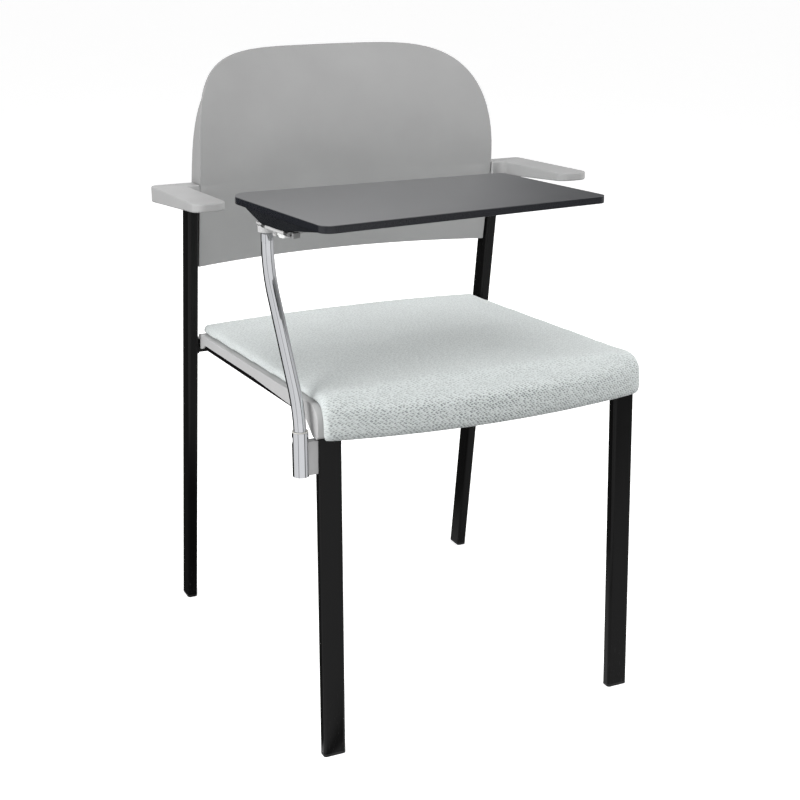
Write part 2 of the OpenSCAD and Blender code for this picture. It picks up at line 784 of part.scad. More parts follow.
module socket_bushes() {
    color("#3a3a3a") socket_frame() {
        ring(socket_bore, rod_d + 2 * fit, socket_low + disc_t, socket_low + disc_t + 16);
        difference() {
            union() {
                ring(socket_bore, rod_d + 2 * fit, stop_z + stop_d / 2 + 2, socket_top);
                ring(socket_d, rod_d + 2 * fit, socket_top, socket_top + 1);
            }
            // A lead-in that opens with the rod's bend
            translate([0, 0, bend_z - 1]) cylinder(h = 11, r1 = rod_d / 2, r2 = rod_d / 2 + fit + 0.5);
        }
    }
}

module socket_disc() {
    color("#3a3a3a") socket_frame() translate([0, 0, socket_low])
        cylinder(h = disc_t, r = socket_bore / 2);
}

// A bend of the rod that starts straight up and leans rearward, and what follows on from its end
module bend() {
    translate([0, bend_r, 0]) mirror([0, 1, 0]) rotate([90, 0, 90])
        rotate_extrude(angle = rod_lean, $fn = 180)
            translate([bend_r, 0]) circle(rod_d / 2 - bend_thin);
    translate([0, bend_r * (1 - cos(rod_lean)), bend_r * sin(rod_lean)]) rotate([-rod_lean, 0, 0])
        children();
}

module arm_rod() {
    color("#cfd1d4") socket_frame() difference() {
        union() {
            translate([0, 0, rod_low]) cylinder(h = bend_z - rod_low + bend_lap, r = rod_d / 2);
            translate([0, 0, bend_z]) bend() {
                translate([0, 0, -bend_lap]) cylinder(h = rod_run + 2 * bend_lap, r = rod_d / 2);
                translate([0, 0, rod_run]) mirror([0, 1, 0]) bend()
                    translate([0, 0, -bend_lap])
                        cylinder(h = rod_top + collar_h + bend_lap, r = rod_d / 2);
            }
        }
        stop_hole(stop_d / 2);
    }
}

module stop_hole(r) {
    translate([0, 0, stop_z]) rotate([0, 0, stop_dir]) rotate([0, 90, 0]) translate([0, 0, -2])
        cylinder(h = 20, r = r);
}

module stop_pin() {
    color("#8a8a8a") socket_frame() intersection() {
        stop_hole(stop_d / 2);
        translate([0, 0, socket_low]) cylinder(h = socket_len, r = socket_d / 2 - run);
    }
}

// The tablet's own frame: X inward from its left side, Y rearward, abreast of the head
module tablet_frame() {
    whole() translate([tablet_x, tablet_y, 0]) rotate([0, 0, tablet_yaw]) children();
}

module along_y(from, to, d) {
    translate([0, from, 0]) rotate([-90, 0, 0]) cylinder(h = to - from, r = d / 2);
}

module barrel(from, to, d) {
    translate([hinge_x, 0, hinge_z]) along_y(from, to, d);
}

module arm_head() {
    color("#b8b8b8") tablet_frame() difference() {
        union() {
            translate([head_in, 0, head_low]) cylinder(h = collar_h, r = collar_d / 2);
            translate([plate_edge, plate_front, plate_low])
                cube([plate_width, plate_rear - plate_front, head_t]);
            translate([hinge_x, knuckle_front, plate_low])
                cube([plate_edge - hinge_x + 1, knuckle_rear - knuckle_front, head_t]);
            barrel(knuckle_front, knuckle_rear, barrel_d);
            for (x = [tab_x - 2 - run, tab_x + tab_w + run])
                translate([x, latch_y - 3.5, latch_z - 3.5]) cube([2, 7, plate_low - latch_z + 3.6]);
        }
        translate([head_in, 0, head_low - 1]) cylinder(h = collar_h + 1, r = rod_d / 2);
        barrel(knuckle_front - 1, knuckle_rear + 1, hinge_pin_d);
        latch_axle(latch_pin_d, 20);
    }
}

module latch_axle(d, extra) {
    translate([tab_x - 2 - run - extra, latch_y, latch_z]) rotate([0, 90, 0])
        cylinder(h = tab_w + 4 + 2 * run + 2 * extra, r = d / 2);
}

module hinge_pin() {
    color("#8a8a8a") tablet_frame()
        barrel(leaf_front, leaf_rear, hinge_pin_d);
}

module latch_pin() {
    color("#8a8a8a") tablet_frame() latch_axle(latch_pin_d, 0);
}

module leaf_screw_places() {
    for (y = [knuckle_front + 5, knuckle_rear - 5]) translate([plate_edge + 22, y, leaf_low]) children();
}

module leaf_screw(gap) {
    cylinder(h = leaf_t, r1 = tablet_screw_d + gap, r2 = tablet_screw_d / 2 + gap);
}

module hinge_leaf() {
    color("#5a5a5a") tablet_frame() difference() {
        union() {
            translate([hinge_x, leaf_front, leaf_low])
                cube([plate_width, leaf_rear - leaf_front, leaf_t]);
            barrel(leaf_front, knuckle_front - run, barrel_d);
            barrel(knuckle_rear + run, leaf_rear, barrel_d);
        }
        translate([hinge_x - 3, knuckle_front - run, leaf_low - 1])
            cube([plate_edge - hinge_x + 3, knuckle_rear - knuckle_front + 2 * run, leaf_t + 2]);
        barrel(leaf_front - 1, leaf_rear + 1, hinge_pin_d + 2 * fit);
        leaf_screw_places() leaf_screw(fit);
    }
}

// Side profile of the hinge housing in (Y, Z), set in by the thickness of its wall
module housing_side(wall) {
    flat_rear = flat_front + housing_flat;
    low = housing_low + wall;
    front = flat_front - (housing_len - housing_flat) * 0.68;
    rear = front + housing_len;
    polygon(rounded([
        [front + 6 * wall, tablet_low], [flat_front + 0.1 * wall, low], [flat_rear - 0.3 * wall, low],
        [rear - 18 - wall, tablet_low - 6 + 0.6 * wall], [rear - 3 * wall, tablet_low]
    ], [0, 40, 30, 20, 0]));
}

module tablet_screw_places() {
    for (x = [12, housing_w - 12], y = [flat_front - 50, flat_front + housing_flat + 12])
        translate([x, y, tablet_low]) children();
}

module hinge_housing() {
    wall = 2.5;
    groove = barrel_d / 2 + run;
    from = leaf_front - run;
    long = leaf_rear - leaf_front + 2 * run;
    color("#25262a") tablet_frame() difference() {
        union() {
            difference() {
                along_x(0, housing_w) housing_side(0);
                along_x(wall, housing_w - wall) housing_side(wall);
            }
            intersection() {
                along_x(0, housing_w) housing_side(0);
                union() {
                    tablet_screw_places() translate([0, 0, -40]) cylinder(h = 40, r = 5.5);
                    leaf_screw_places() cylinder(h = 40, r = 4);
                }
            }
        }
        translate([hinge_x - run, from, housing_low - 10])
            cube([plate_width + 2 * run, long, leaf_low + leaf_t - housing_low + 10]);
        translate([-1, from, hinge_z - 10]) cube([hinge_x + 1, long, groove + 10]);
        translate([hinge_x, 0, hinge_z]) along_y(from, from + long, 2 * groove);
        tablet_screw_places() {
            translate([0, 0, -40]) cylinder(h = 36.5, r = tablet_screw_d + 2 * fit);
            translate([0, 0, -10]) cylinder(h = 11, r = tablet_screw_d / 2 + fit);
        }
        leaf_screw_places() cylinder(h = 8, r = tablet_screw_d / 2);
    }
}

module tablet_board() {
    color("#2a2b30") tablet_frame() difference() {
        translate([0, 0, tablet_low]) linear_extrude(tablet_t - laminate_t)
            polygon(rounded(tablet_outline, tablet_radii));
        tablet_screw_places() translate([0, 0, -1]) cylinder(h = 6.5, r = tablet_screw_d / 2);
    }
}

module tablet_laminate() {
    color("#77797c") tablet_frame() translate([0, 0, tablet_top - laminate_t])
        linear_extrude(laminate_t) polygon(rounded(tablet_outline, tablet_radii));
}

module tablet_screws() {
    color("#3a3a3a") tablet_frame() {
        tablet_screw_places() {
            translate([0, 0, -5.5]) cylinder(h = 10.5, r = tablet_screw_d / 2);
            translate([0, 0, -5.5]) cylinder(h = 2, r = tablet_screw_d);
        }
        leaf_screw_places() {
            leaf_screw(0);
            cylinder(h = 7.5, r = tablet_screw_d / 2);
        }
    }
}

// The latch turns on a pin across the plate; its nose stands before the leaf's front edge
module latch_lever() {
    top = latch_z + 2.4;
    low = plate_low - tab_h;
    arm_t = 2.4;
    color("#eceeed") tablet_frame() difference() {
        along_x(tab_x, tab_x + tab_w) polygon(rounded([
            [latch_y + 2.4, top], [latch_y + 2.4, latch_z - 2.4], [latch_y - 5, latch_z - 1.6],
            [latch_y - 8, low], [latch_y - tab_len, low + 1],
            [latch_y - tab_len - 3, top - arm_t], [nose_y, top - arm_t],
            [nose_y, leaf_low + 0.8], [nose_y + nose_t, leaf_low + 0.8],
            [nose_y + nose_t, top]
        ], [1, 2, 3, 4, 4, 1.5, 1, 0.8, 0.8, 0], 5));
        latch_axle(latch_pin_d + 2 * fit, 5);
    }
}

front_leg(-1);  // front_leg_left
front_leg(1);  // front_leg_right
rear_leg(-1);  // rear_leg_left
rear_leg(1);  // rear_leg_right
front_glide(-1);  // front_glide_left
front_glide(1);  // front_glide_right
rear_glide(-1);  // rear_glide_left
rear_glide(1);  // rear_glide_right
side_rail(-1);  // side_rail_left
side_rail(1);  // side_rail_right
front_cross_rail();
rear_cross_rail();
seat_pan();
seat_board();
seat_cushion();
seat_screws();
backrest_shell();
back_screws();
armrest(-1);  // armrest_left
armrest(1);  // armrest_right
arm_plate(-1);  // arm_plate_left
arm_plate(1);  // arm_plate_right
arm_screws();
socket_bracket();
bracket_bolts();
tablet_socket();
socket_bushes();
socket_disc();
arm_rod();
stop_pin();
arm_head();
hinge_pin();
latch_pin();
hinge_leaf();
hinge_housing();
tablet_board();
tablet_laminate();
tablet_screws();
latch_lever();
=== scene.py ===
"""Looks of the tablet arm chair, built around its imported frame: metres, Z up, the sitter faces -Y."""

import math

import bmesh
import bpy
from mathutils import Matrix, Vector, noise
from mathutils.bvhtree import BVHTree


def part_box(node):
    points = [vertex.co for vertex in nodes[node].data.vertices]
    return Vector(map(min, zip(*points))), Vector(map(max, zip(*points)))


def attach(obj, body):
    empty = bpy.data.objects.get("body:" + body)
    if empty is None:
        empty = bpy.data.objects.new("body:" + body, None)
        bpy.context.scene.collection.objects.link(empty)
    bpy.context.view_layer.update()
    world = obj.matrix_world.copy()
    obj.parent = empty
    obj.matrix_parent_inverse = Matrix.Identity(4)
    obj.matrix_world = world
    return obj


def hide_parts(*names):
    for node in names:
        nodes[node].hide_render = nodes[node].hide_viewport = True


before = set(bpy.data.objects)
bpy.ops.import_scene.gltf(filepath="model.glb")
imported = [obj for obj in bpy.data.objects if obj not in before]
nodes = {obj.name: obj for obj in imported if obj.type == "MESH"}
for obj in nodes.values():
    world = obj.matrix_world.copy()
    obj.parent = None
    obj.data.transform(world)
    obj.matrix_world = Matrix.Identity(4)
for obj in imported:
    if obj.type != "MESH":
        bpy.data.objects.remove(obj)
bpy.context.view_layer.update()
MM = 0.001


# The photograph's view

def make_camera():
    """A camera where the photograph was taken from, looking at the middle of its picture."""
    place = Vector((-0.83556, -1.78635, 1.02372))
    target = Vector((-0.02127, -0.03995, 0.38704))
    roll = math.radians(-0.09)
    data = bpy.data.cameras.new("camera")
    data.lens = 66.71
    data.sensor_width = 36
    camera = bpy.data.objects.new("camera", data)
    bpy.context.scene.collection.objects.link(camera)
    turn = (target - place).to_track_quat("-Z", "Y").to_matrix().to_4x4()
    camera.matrix_world = Matrix.Translation(place) @ turn @ Matrix.Rotation(roll, 4, "Z")
    bpy.context.scene.camera = camera


# Meshes

def add_mesh(name, points, faces, smooth=True):
    """A new object with this mesh, at the origin of the frame."""
    mesh = bpy.data.meshes.new(name)
    mesh.from_pydata([tuple(p) for p in points], [], faces)
    mesh.validate()
    mesh.polygons.foreach_set("use_smooth", [smooth] * len(mesh.polygons))
    obj = bpy.data.objects.new(name, mesh)
    bpy.context.scene.collection.objects.link(obj)
    return obj


def apply_modifiers(obj):
    """Bakes the object's modifiers into its mesh."""
    evaluated = obj.evaluated_get(bpy.context.evaluated_depsgraph_get())
    mesh = bpy.data.meshes.new_from_object(evaluated)
    obj.modifiers.clear()
    old = obj.data
    obj.data = mesh
    bpy.data.meshes.remove(old)


def put_material(obj, material):
    obj.data.materials.clear()
    obj.data.materials.append(material)


def finish_piece(obj, material, body="frame"):
    put_material(obj, material)
    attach(obj, body)


# Materials

class Shader:
    """A material's node tree, with a short call for each kind of node it uses."""

    def __init__(self, name, **sockets):
        self.material = bpy.data.materials.new(name)
        self.material.use_nodes = True
        self.tree = self.material.node_tree
        self.main = self.tree.nodes["Principled BSDF"]
        for socket, value in sockets.items():
            self.main.inputs[socket.replace("_", " ")].default_value = value
        place = self.tree.nodes.new("ShaderNodeTexCoord")
        self.place = place.outputs["Object"]

    def node(self, kind, **settings):
        made = self.tree.nodes.new(kind)
        for setting, value in settings.items():
            setattr(made, setting, value)
        return made

    def join(self, value, socket):
        if isinstance(value, bpy.types.NodeSocket):
            self.tree.links.new(value, socket)
        else:
            socket.default_value = value

    def math(self, operation, a, b=0.0, c=0.0):
        made = self.node("ShaderNodeMath", operation=operation)
        for value, socket in zip((a, b, c), made.inputs):
            self.join(value, socket)
        return made.outputs[0]

    def between(self, value, low, high, to_low=0.0, to_high=1.0):
        """value's place between low and high, as a share, or between to_low and to_high."""
        made = self.node("ShaderNodeMapRange", clamp=True)
        for given, socket in zip((value, low, high, to_low, to_high), made.inputs):
            self.join(given, socket)
        return made.outputs[0]

    def noise(self, size, detail=2.0, rough=0.5, place=None):
        """Noise from 0 to 1 whose lumps are about size metres wide."""
        made = self.node("ShaderNodeTexNoise")
        self.tree.links.new(place or self.place, made.inputs["Vector"])
        made.inputs["Scale"].default_value = 1 / size
        made.inputs["Detail"].default_value = detail
        made.inputs["Roughness"].default_value = rough
        return made.outputs["Fac"]

    def stretch(self, scale, turn=(0, 0, 0), place=None):
        made = self.node("ShaderNodeMapping")
        self.tree.links.new(place or self.place, made.inputs["Vector"])
        made.inputs["Rotation"].default_value = turn
        made.inputs["Scale"].default_value = scale
        return made.outputs[0]

    def axis(self, name, place=None):
        made = self.node("ShaderNodeSeparateXYZ")
        self.tree.links.new(place or self.place, made.inputs[0])
        return made.outputs[name]

    def mix(self, share, a, b):
        """Colour a where share is 0, b where it is 1."""
        made = self.node("ShaderNodeMix", data_type="RGBA")
        self.join(share, made.inputs[0])
        for value, socket in ((a, made.inputs[6]), (b, made.inputs[7])):
            self.join(value if isinstance(value, bpy.types.NodeSocket) else (*value, 1), socket)
        return made.outputs[2]

    def colour(self, value):
        self.tree.links.new(value, self.main.inputs["Base Color"])

    def rough(self, value):
        self.tree.links.new(value, self.main.inputs["Roughness"])

    def bump(self, height, depth, under=None):
        """Raises the surface by depth metres times height, over the bump given as under."""
        made = self.node("ShaderNodeBump")
        made.inputs["Distance"].default_value = depth
        self.tree.links.new(height, made.inputs["Height"])
        if under:
            self.tree.links.new(under, made.inputs["Normal"])
        self.tree.links.new(made.outputs[0], self.main.inputs["Normal"])
        return made.outputs[0]


def grey(value):
    return (value, value, value)


def black_coat():
    """Satin powder coat: a fine orange peel, and faint scuffs near the floor."""
    s = Shader("black_coat", Specular_IOR_Level=0.2)
    peel = s.noise(0.9 * MM, 2.0)
    cloud = s.noise(40 * MM, 3.0)
    low = s.between(s.axis("Z"), 0.14, 0.0)
    scratch = s.noise(1.2 * MM, 3.0, 0.6, s.stretch((1, 1, 0.12)))
    scuff = s.math("MULTIPLY", s.between(scratch, 0.6, 0.72), s.math("MULTIPLY", low, low))
    coat = s.mix(cloud, grey(0.0032), grey(0.0046))
    s.colour(s.mix(s.math("MULTIPLY", scuff, 0.5), coat, grey(0.07)))
    s.rough(s.between(cloud, 0.3, 0.7, 0.2, 0.27))
    s.bump(peel, 0.006 * MM)
    return s.material


def moulded_plastic(name, dark, light):
    """Grey moulded plastic with a fine spark-eroded grain and a faint cloudiness."""
    s = Shader(name, Specular_IOR_Level=0.35)
    grain = s.noise(0.55 * MM, 3.0, 0.6)
    cloud = s.noise(90 * MM, 3.0)
    speck = s.noise(0.8 * MM, 1.0)
    tone = s.math("ADD", s.math("MULTIPLY", cloud, 0.75), s.math("MULTIPLY", speck, 0.25))
    s.colour(s.mix(s.between(tone, 0.3, 0.7), grey(dark), grey(light)))
    s.rough(s.between(grain, 0.3, 0.7, 0.46, 0.6))
    s.bump(grain, 0.03 * MM)
    return s.material


def chrome():
    """Polished chrome with the faint lengthwise haze of a buffed tube."""
    s = Shader("chrome", Metallic=1.0)
    haze = s.noise(6 * MM, 3.0, 0.6, s.stretch((4, 4, 0.3)))
    s.colour(s.mix(haze, (0.71, 0.72, 0.74), (0.76, 0.77, 0.79)))
    s.rough(s.between(haze, 0.3, 0.75, 0.04, 0.1))
    s.bump(s.noise(0.5 * MM, 1.0, 0.5, s.stretch((1, 1, 0.05))), 0.0008 * MM)
    return s.material


def zinc():
    """Zinc-plated steel: brushed, with a blotchy plating."""
    s = Shader("zinc", Metallic=1.0)
    blotch = s.noise(3 * MM, 4.0, 0.6)
    s.colour(s.mix(blotch, (0.33, 0.34, 0.35), (0.55, 0.55, 0.54)))
    s.rough(s.between(blotch, 0.3, 0.7, 0.28, 0.45))
    s.bump(s.noise(0.25 * MM, 2.0, 0.5, s.stretch((1, 6, 1))), 0.008 * MM)
    return s.material


def grey_coat():
    """Matt grey paint on the tablet's steel parts, rubbed a little pale in places."""
    s = Shader("grey_coat", Specular_IOR_Level=0.4)
    peel = s.noise(0.7 * MM, 2.0)
    cloud = s.noise(14 * MM, 3.0)
    s.colour(s.mix(cloud, grey(0.45), grey(0.53)))
    s.rough(s.between(peel, 0.3, 0.7, 0.38, 0.5))
    s.bump(peel, 0.015 * MM)
    return s.material


def plain_moulding(name, dark, light, grain, gloss, depth=0.02 * MM):
    """Moulded plastic of one colour, from dark to light, with a matt grain."""
    s = Shader(name, Specular_IOR_Level=0.4)
    fine = s.noise(grain, 3.0, 0.6)
    cloud = s.noise(25 * MM, 2.0)
    s.colour(s.mix(s.between(cloud, 0.3, 0.7), dark, light))
    s.rough(s.between(fine, 0.3, 0.7, gloss - 0.06, gloss + 0.08))
    s.bump(fine, depth)
    return s.material


def plywood():
    """Raw plywood: long grain on the faces, plies on the edges."""
    s = Shader("plywood", Roughness=0.75)
    grain = s.noise(5 * MM, 6.0, 0.65, s.stretch((1, 0.06, 1)))
    plies = s.node("ShaderNodeTexWave", bands_direction="Z")
    s.tree.links.new(s.place, plies.inputs["Vector"])
    plies.inputs["Scale"].default_value = 110
    tone = s.math("ADD", s.math("MULTIPLY", grain, 0.8), s.math("MULTIPLY", plies.outputs["Fac"], 0.2))
    s.colour(s.mix(s.between(tone, 0.3, 0.7), (0.42, 0.27, 0.14), (0.66, 0.48, 0.29)))
    s.bump(grain, 0.1 * MM)
    return s.material


def laminate():
    """Anthracite laminate, half gloss: a fine pearl in the colour and a soft pebble in the surface."""
    s = Shader("laminate", Specular_IOR_Level=0.9, Coat_Weight=0.6, Coat_Roughness=0.22)
    pearl = s.noise(0.7 * MM, 2.0, 0.7)
    cloud = s.noise(70 * MM, 3.0)
    tone = s.math("ADD", s.math("MULTIPLY", pearl, 0.3), s.math("MULTIPLY", cloud, 0.7))
    s.colour(s.mix(s.between(tone, 0.2, 0.8), (0.056, 0.058, 0.063), (0.074, 0.076, 0.082)))
    s.rough(s.between(pearl, 0.2, 0.8, 0.27, 0.31))
    s.bump(s.noise(2.5 * MM, 1.0), 0.002 * MM)
    return s.material


def tablet_edging():
    """The tablet's dark edge, and the grey backing sheet on its underside."""
    s = Shader("tablet_edging", Specular_IOR_Level=0.45)
    fine = s.noise(0.6 * MM, 3.0, 0.6)
    streak = s.noise(4 * MM, 3.0, 0.5, s.stretch((0.2, 0.2, 3)))
    facing = s.node("ShaderNodeTexCoord").outputs["Normal"]
    edge = s.mix(streak, (0.008, 0.009, 0.012), (0.014, 0.015, 0.019))
    backing = s.mix(streak, grey(0.30), grey(0.34))
    s.colour(s.mix(s.between(s.axis("Z", facing), -0.93, -0.97), edge, backing))
    s.rough(s.between(fine, 0.3, 0.7, 0.24, 0.32))
    s.bump(fine, 0.006 * MM)
    return s.material


def latch_plastic():
    """White moulded plastic over a grey steel tongue, which shows at the latch's nose."""
    s = Shader("latch_plastic", Specular_IOR_Level=0.4)
    fine = s.noise(0.5 * MM, 3.0, 0.6)
    yaw = math.radians(7.7)
    tongue = 19.2 * MM
    blend = 0.6 * MM
    ahead = s.math("ADD", s.math("MULTIPLY", s.axis("X"), -math.sin(yaw)),
                   s.math("MULTIPLY", s.axis("Y"), math.cos(yaw)))
    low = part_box("latch_lever")[0]
    nose = -math.sin(yaw) * low.x + math.cos(yaw) * low.y
    steel_part = s.between(ahead, nose + tongue, nose + tongue - blend)
    moulded = s.mix(fine, (0.78, 0.79, 0.78), (0.84, 0.85, 0.84))
    s.colour(s.mix(steel_part, moulded, grey(0.26)))
    s.rough(s.between(fine, 0.3, 0.7, 0.3, 0.42))
    s.bump(fine, 0.008 * MM)
    return s.material


def woven_fabric():
    """Pale knobbly cloth: plain threads, and hollows in slanting rows darkened with painted shade, less on
    faces that point up, where light from above falls.
    The cover's weave attribute gives the place on the flat cloth, and how deep the hollows and their
    painted shade are."""
    s = Shader("woven_fabric", Roughness=0.88, Specular_IOR_Level=0.18, Sheen_Weight=0.2,
               Sheen_Roughness=0.5)
    weave = s.node("ShaderNodeAttribute", attribute_name="weave").outputs["Vector"]
    relief_and_shade = s.axis("Z", weave)
    thread = 2.2 * MM
    across = s.math("SINE", s.math("MULTIPLY", s.axis("X", weave), math.tau / thread))
    along = s.math("SINE", s.math("MULTIPLY", s.axis("Y", weave), math.tau / thread))
    basket = s.between(s.math("MULTIPLY", across, along), -1, 1)
    cells = s.node("ShaderNodeTexVoronoi", feature="F1", voronoi_dimensions="2D")
    slanted = s.stretch((1 / (4.2 * MM), 1 / (2.3 * MM), 1), (0, 0, math.radians(-27)), weave)
    s.tree.links.new(slanted, cells.inputs["Vector"])
    cells.inputs["Scale"].default_value = 1.0
    cells.inputs["Randomness"].default_value = 0.5
    chance = s.axis("X", cells.outputs["Color"])
    spot = s.math("MULTIPLY", s.between(cells.outputs["Distance"], 0.45, 0.2),
                  s.between(chance, 0.0, 0.8, 0.3, 1.0))
    # hollow_and_shade sets both the bump of the hollows and the painted shade in them
    hollow_and_shade = s.math("MULTIPLY", spot, relief_and_shade)
    fibre = s.noise(0.6 * MM, 3.0, 0.7, weave)
    cloud = s.noise(60 * MM, 3.0, 0.5, weave)
    lump = s.noise(3 * MM, 1.0, 0.5, weave)
    tone = s.math("ADD", s.math("MULTIPLY", cloud, 0.4), s.math("MULTIPLY", lump, 0.6))
    pale = s.mix(s.between(tone, 0.3, 0.7), (0.605, 0.642, 0.636), (0.72, 0.757, 0.75))
    cloth = s.mix(s.math("MULTIPLY", basket, 0.7), pale, (0.77, 0.81, 0.805))
    cloth = s.mix(s.math("MULTIPLY", fibre, 0.35), cloth, (0.42, 0.46, 0.455))
    # Painted shade: the hollows are darkened towards (0.07, 0.085, 0.09), in place of the shadow each knob
    # casts
    s.colour(s.mix(s.math("MULTIPLY", hollow_and_shade, 0.8), cloth, (0.07, 0.085, 0.09)))
    threads = s.bump(basket, 0.2 * MM)
    hair = s.bump(fibre, 0.1 * MM, threads)
    s.bump(s.math("SUBTRACT", 1.0, hollow_and_shade), 0.35 * MM, hair)
    return s.material


# The CAD nodes keep their meshes; modifiers round their edges

def dress(names, material, edge, steps=2, angle=35):
    """Gives each CAD node its material, and rounds edges sharper than angle degrees by edge metres."""
    for name in names:
        obj = nodes[name]
        for slot in obj.material_slots:
            slot.material = material
        weld = obj.modifiers.new("weld", "WELD")
        weld.merge_threshold = 0.004 * MM
        flat = obj.modifiers.new("flat", "DECIMATE")
        flat.decimate_type = "DISSOLVE"
        flat.angle_limit = math.radians(0.2)
        if edge:
            bevel = obj.modifiers.new("edges", "BEVEL")
            bevel.width = edge
            bevel.segments = steps
            bevel.limit_method = "ANGLE"
            bevel.angle_limit = math.radians(angle)
            bevel.use_clamp_overlap = False
            bevel.harden_normals = False
        normals = obj.modifiers.new("normals", "WEIGHTED_NORMAL")
        normals.keep_sharp = False
        normals.weight = 80


# The cushion

def close_recess(form):
    """Takes the board's recess out of the cushion's underside and closes the hole that it leaves."""
    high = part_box("seat_cushion")[1].z + 1
    middle = Vector((0, (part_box("seat_board")[0].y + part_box("seat_board")[1].y) / 2, high))
    tree = BVHTree.FromBMesh(form)
    top = tree.ray_cast(middle, Vector((0, 0, -1)))[0]
    ceiling, normal = tree.ray_cast(top - Vector((0, 0, 0.1 * MM)), Vector((0, 0, -1)))[:2]
    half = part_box("seat_board")[1].x + 1 * MM
    recess = [v for v in form.verts
              if abs((v.co - ceiling).dot(normal)) < 0.1 * MM and abs(v.co.x) < half]
    bmesh.ops.delete(form, geom=recess, context="VERTS")
    rim = [edge for edge in form.edges if edge.is_boundary]
    bmesh.ops.holes_fill(form, edges=rim)
    bmesh.ops.triangulate(form, faces=[face for face in form.faces if len(face.verts) > 4])
    bmesh.ops.recalc_face_normals(form, faces=form.faces)


def stuffed(obj, voxel, shrink, pressure, cap, held):
    """Swells a closed form like a stuffed cover: it starts smaller by shrink, is blown up by a cloth
    simulation, and no point ends more than cap from where it started. held(point, normal) is 0 for a
    point that may move and 1 for one that what it rests on holds still."""
    remesh = obj.modifiers.new("remesh", "REMESH")
    remesh.mode = "VOXEL"
    remesh.voxel_size = voxel
    apply_modifiers(obj)
    smooth = obj.modifiers.new("smooth", "SMOOTH")
    smooth.factor = 0.5
    smooth.iterations = 3
    apply_modifiers(obj)
    mesh = obj.data
    normals = [v.normal.copy() for v in mesh.vertices]
    free = [1 - held(v.co, n) for v, n in zip(mesh.vertices, normals)]
    for vert, normal, share in zip(mesh.vertices, normals, free):
        vert.co -= normal * shrink * share
    start = [v.co.copy() for v in mesh.vertices]
    cloth = obj.modifiers.new("cloth", "CLOTH")
    cloth.settings.use_pressure = True
    cloth.settings.uniform_pressure_force = pressure
    cloth.settings.tension_stiffness = 15
    cloth.settings.compression_stiffness = 15
    cloth.settings.bending_stiffness = 4
    cloth.settings.effector_weights.gravity = 0
    for step in range(1, 21):
        bpy.context.scene.frame_set(step)
    swollen = obj.evaluated_get(bpy.context.evaluated_depsgraph_get()).data
    moved = [v.co.copy() for v in swollen.vertices]
    bpy.context.scene.frame_set(1)
    obj.modifiers.clear()
    for vert, before, after, share in zip(mesh.vertices, start, moved, free):
        step = after - before
        if step.length > cap:
            step *= cap / step.length
        vert.co = before + step * share
    finer = obj.modifiers.new("finer", "SUBSURF")
    finer.levels = finer.render_levels = 1
    apply_modifiers(obj)
    mesh = obj.data
    mesh.polygons.foreach_set("use_smooth", [True] * len(mesh.polygons))


def fill_box(obj, low, high):
    """Stretches a piece a little, so that it fills its node's box again after it was drawn in."""
    points = [v.co for v in obj.data.vertices]
    for axis in range(3):
        least = min(p[axis] for p in points)
        most = max(p[axis] for p in points)
        scale = (high[axis] - low[axis]) / (most - least)
        for point in points:
            point[axis] = low[axis] + (point[axis] - least) * scale


def widen_front(obj, start, full, share):
    """Pulls the cover round the pan's front corners: wider by share before full, not at all after start."""
    for vert in obj.data.vertices:
        ahead = min(max((start - vert.co.y) / (start - full), 0), 1)
        vert.co.x *= 1 + share * ahead * ahead * (3 - 2 * ahead)


def seat_cushion():
    """The seat's cushion: crowned, drawn in at its sides, and rolled down over the front."""
    low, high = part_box("seat_cushion")
    form = bmesh.new()
    form.from_mesh(nodes["seat_cushion"].data)
    bmesh.ops.remove_doubles(form, verts=form.verts, dist=0.01 * MM)
    close_recess(form)
    mesh = bpy.data.meshes.new("cushion")
    form.to_mesh(mesh)
    tree = BVHTree.FromBMesh(form)
    form.free()
    cushion = bpy.data.objects.new("cushion", mesh)
    bpy.context.scene.collection.objects.link(cushion)

    hem_h = 5 * MM
    hem_fade = 9 * MM

    def held(point, normal):
        """The underside is held, and the cover's hem above it, which is pulled tight on the board."""
        inward = Vector((0.97 * point.x, 0.97 * point.y, low.z - 1))
        under = tree.ray_cast(inward, Vector((0, 0, 1)))[0]
        hem = 1 - min(max((point.z - under.z - hem_h) / hem_fade, 0), 1) if under else 0
        return max(min(max(-2.0 * normal.z - 0.2, 0), 1), hem)

    stuffed(cushion, voxel=4.5 * MM, shrink=1.2 * MM, pressure=3, cap=1.8 * MM, held=held)
    fill_box(cushion, low, high)
    widen_front(cushion, start=low.y + 45 * MM, full=low.y + 20 * MM, share=3.4 * MM / high.x)
    wrap_weave(cushion, low.y, high)
    put_material(cushion, fabric)
    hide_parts("seat_cushion")
    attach(cushion, "frame")


